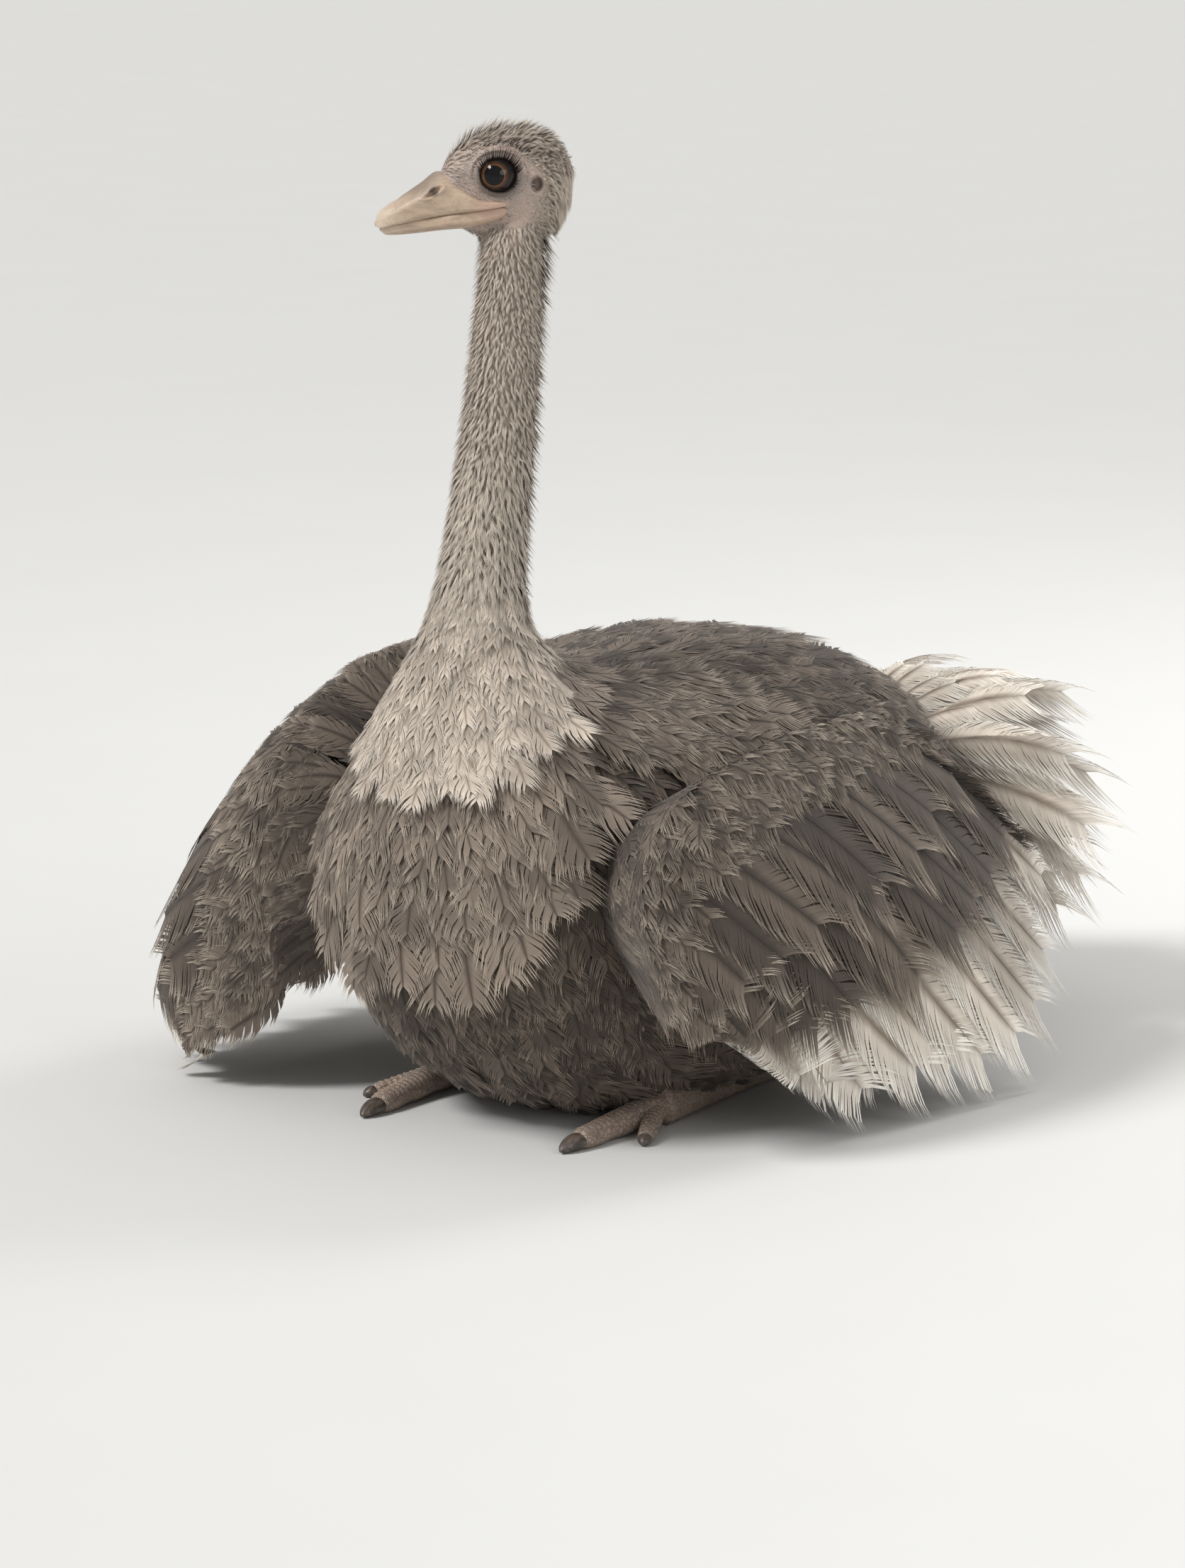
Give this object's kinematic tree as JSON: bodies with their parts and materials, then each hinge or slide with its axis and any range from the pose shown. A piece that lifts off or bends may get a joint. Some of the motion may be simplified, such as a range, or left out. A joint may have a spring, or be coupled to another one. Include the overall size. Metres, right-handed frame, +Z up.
{
  "type": "ostrich figure",
  "caption": "Life-size resting ostrich with folded legs, wings drooped beside the body, raised tail plumes and a tall upright neck with the head turned aside.",
  "frame": {"origin": "middle of the bird's box in plan, on the ground it rests on", "axes": "+Z up, the breast faces -Y, the bird's left side is +X"},
  "size_m": [1.0938, 1.4148, 1.317],
  "materials": {
    "down": "short greyish-white and beige down",
    "plumage": "soft grey-brown body feathers with paler fringes",
    "plume": "loose off-white plumes",
    "skin": "bare scaled skin",
    "horn": "satin horn",
    "nail": "worn horn",
    "eye": "wet gloss"
  },
  "bodies": {
    "root": {"trunk": "plumage", "thigh_left": "skin", "thigh_right": "skin", "shank_left": "skin", "shank_right": "skin", "toe_left_inner": "skin", "toe_left_outer": "skin", "toe_right_inner": "skin", "toe_right_outer": "skin", "nail_left_inner": "nail", "nail_left_outer": "nail", "nail_right_inner": "nail", "nail_right_outer": "nail", "neck_upper": "down", "neck_lower": "down", "head": "down", "bill_upper": "horn", "bill_lower": "horn", "eye_left": "eye", "eye_right": "eye", "ear_left": "down", "ear_right": "down", "wing_left": "plumage", "wing_left_plumes": "plume", "wing_right": "plumage", "wing_right_plumes": "plume", "tail": "plume"}
  },
  "joints": []
}
